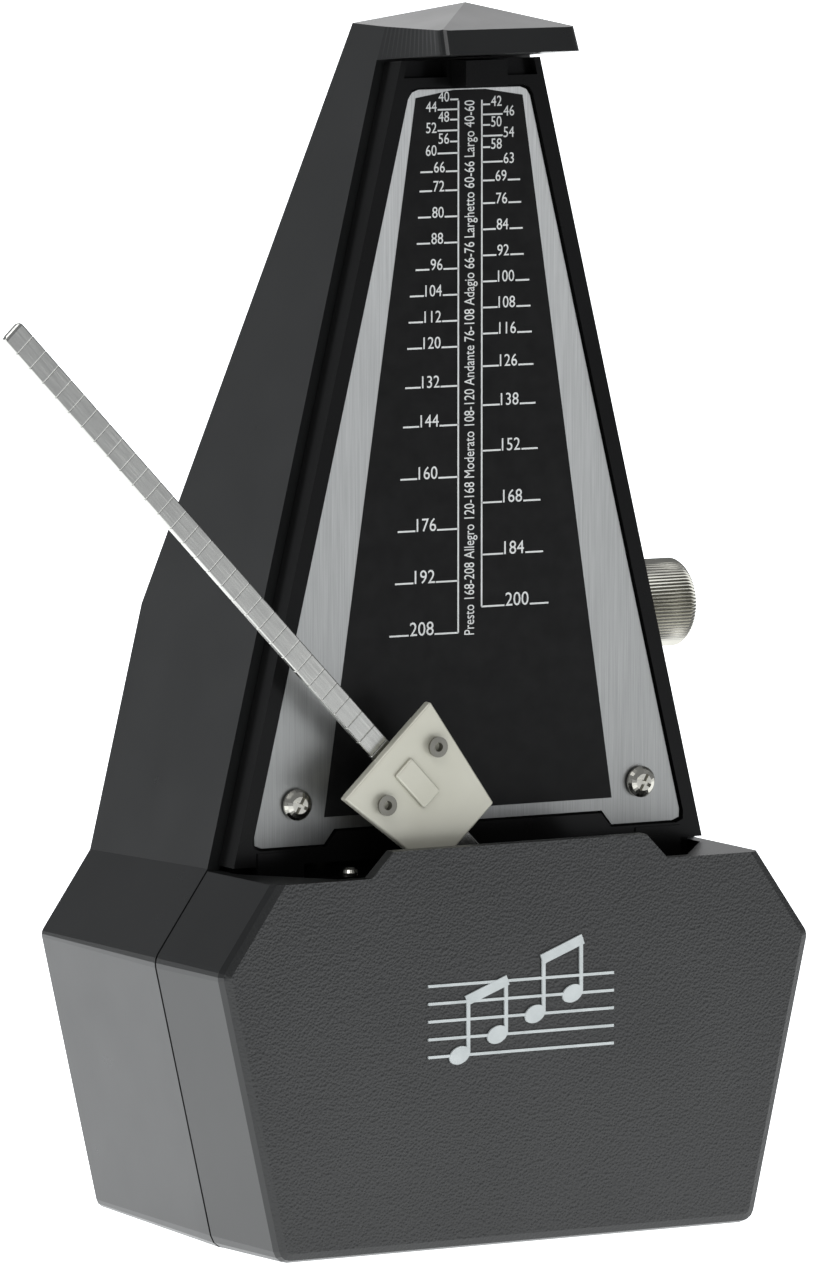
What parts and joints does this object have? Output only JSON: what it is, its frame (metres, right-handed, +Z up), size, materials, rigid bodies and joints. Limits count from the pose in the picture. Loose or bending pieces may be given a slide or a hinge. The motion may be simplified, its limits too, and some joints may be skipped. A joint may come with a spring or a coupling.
{
  "type": "metronome",
  "caption": "Wind-up pendulum metronome in a tapered black case with a brushed aluminium tempo scale, sliding weight and side winding knob.",
  "frame": {"origin": "centre of the rubber pad's underside, on the surface that the metronome stands on", "axes": "+Z up, -Y out of the front with the tempo scale, +X to the right seen from the front, where the winding knob is"},
  "size_m": [0.1151, 0.0502, 0.1608],
  "materials": {
    "case_black": "satin moulded black",
    "frame_black": "smooth satin black",
    "plate_aluminium": "brushed",
    "nickel": "bright nickel plate",
    "weight_enamel": "smooth pale enamel",
    "steel": "turned",
    "brass": "lacquered",
    "blue_steel": "blued spring temper",
    "rubber": "matte",
    "base_plastic": "plain moulded"
  },
  "bodies": {
    "case": {"rear_shell": "case_black", "front_cover": "case_black", "scale_frame": "frame_black", "scale_plate": "plate_aluminium", "scale_screw_left": "nickel", "scale_screw_right": "nickel", "rod_clip": "frame_black", "slot_screw": "nickel", "base_plate": "base_plastic", "rubber_pad": "rubber", "movement_plate_left": "brass", "movement_plate_right": "brass", "movement_pillar_1": "steel", "movement_pillar_2": "steel", "movement_pillar_3": "steel", "movement_pillar_4": "steel", "movement_screw_left_1": "steel", "movement_screw_left_2": "steel", "movement_screw_right_1": "steel", "movement_screw_right_2": "steel", "front_cock": "brass", "rear_cock": "brass", "escape_potence": "brass", "knob_bush": "nickel", "mainspring": "blue_steel"},
    "pendulum": {"pendulum_rod": "nickel", "counterweight": "steel", "pendulum_hub": "brass", "pendulum_arbor": "steel", "pallet_front": "steel", "pallet_rear": "steel"},
    "sliding_weight": {"weight_front_plate": "weight_enamel", "weight_back_plate": "weight_enamel", "weight_rivet_left": "nickel", "weight_rivet_right": "nickel", "weight_grip_spring": "blue_steel"},
    "winding_work": {"winding_knob": "nickel", "winding_arbor": "steel", "ratchet_wheel": "steel"},
    "great_wheel_work": {"great_wheel": "brass", "click_rivet": "steel", "click_spring": "blue_steel"},
    "click": {"click": "steel"},
    "intermediate_work": {"intermediate_wheel": "brass", "intermediate_pinion": "steel", "intermediate_arbor": "steel"},
    "escape_work": {"escape_wheel": "brass", "escape_pinion": "steel", "escape_arbor": "steel"}
  },
  "joints": [
    {"name": "pendulum_swing", "type": "hinge", "parent": "case", "child": "pendulum", "pos_m": [0, -0.01765, 0.048], "axis": [0, 1, 0], "range_deg": [0, 87]},
    {"name": "weight_slide", "type": "slide", "parent": "pendulum", "child": "sliding_weight", "axis": [-0.6884, 0, 0.7254], "range_m": [0, 0.074]},
    {"name": "winding", "type": "hinge", "parent": "case", "child": "winding_work", "pos_m": [0, 0.00485, 0.0798], "axis": [1, 0, 0], "continuous": true},
    {"name": "great_wheel_spin", "type": "hinge", "parent": "case", "child": "great_wheel_work", "pos_m": [0, 0.00485, 0.0798], "axis": [1, 0, 0], "continuous": true},
    {"name": "intermediate_spin", "type": "hinge", "parent": "case", "child": "intermediate_work", "pos_m": [0, 0.00485, 0.0636], "axis": [1, 0, 0], "continuous": true},
    {"name": "escape_spin", "type": "hinge", "parent": "case", "child": "escape_work", "pos_m": [0, 0.00485, 0.048], "axis": [1, 0, 0], "continuous": true},
    {"name": "click_pivot", "type": "hinge", "parent": "great_wheel_work", "child": "click", "pos_m": [0, 0.01285, 0.083], "axis": [1, 0, 0], "range_deg": [0, 12], "stiffness_Nm_per_rad": 0.01}
  ],
  "couplings": [
    {"joint": "intermediate_spin", "follows": "escape_spin", "ratio": -0.18182},
    {"joint": "great_wheel_spin", "follows": "escape_spin", "ratio": 0.031621}
  ]
}
